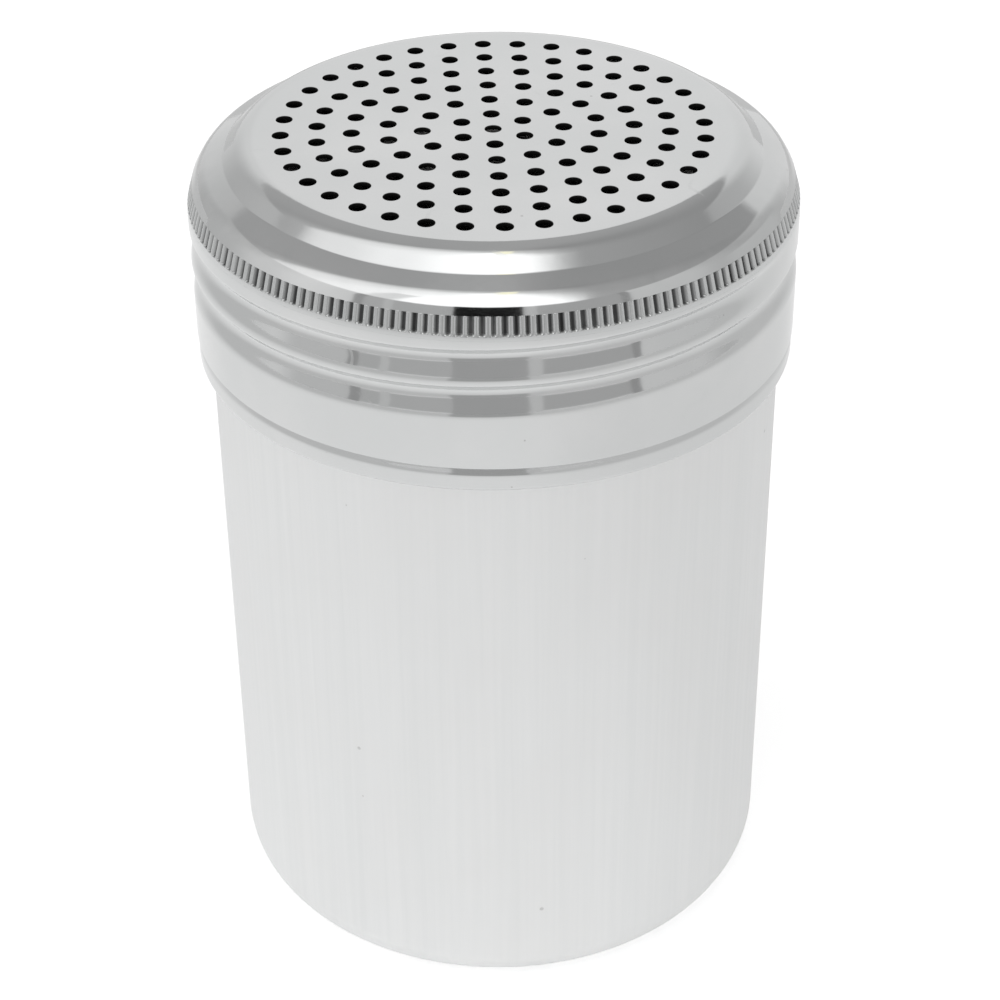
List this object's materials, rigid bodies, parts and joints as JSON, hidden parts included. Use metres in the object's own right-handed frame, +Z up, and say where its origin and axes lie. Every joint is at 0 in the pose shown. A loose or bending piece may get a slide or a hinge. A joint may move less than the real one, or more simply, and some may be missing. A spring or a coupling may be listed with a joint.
{
  "type": "spice shaker",
  "caption": "Cylindrical table and kitchen shaker for ground spice or sugar: a plain cup and a perforated, knurled screw lid with a stepped crown.",
  "frame": {"origin": "centre of the canister's flat base, on the surface that the shaker stands on", "axes": "+Z up the axis, through the lid; -Y towards the viewer of the picture; +X to the viewer's right"},
  "size_m": [0.07, 0.07, 0.1008],
  "materials": {
    "satin_steel": "satin",
    "polished_steel": "polished"
  },
  "bodies": {
    "canister": {"canister": "satin_steel"},
    "lid": {"lid": "polished_steel"}
  },
  "joints": [
    {"name": "lid_lift", "type": "slide", "parent": "canister", "child": "lid", "axis": [0, 0, 1], "range_m": [0, 0.08]}
  ]
}
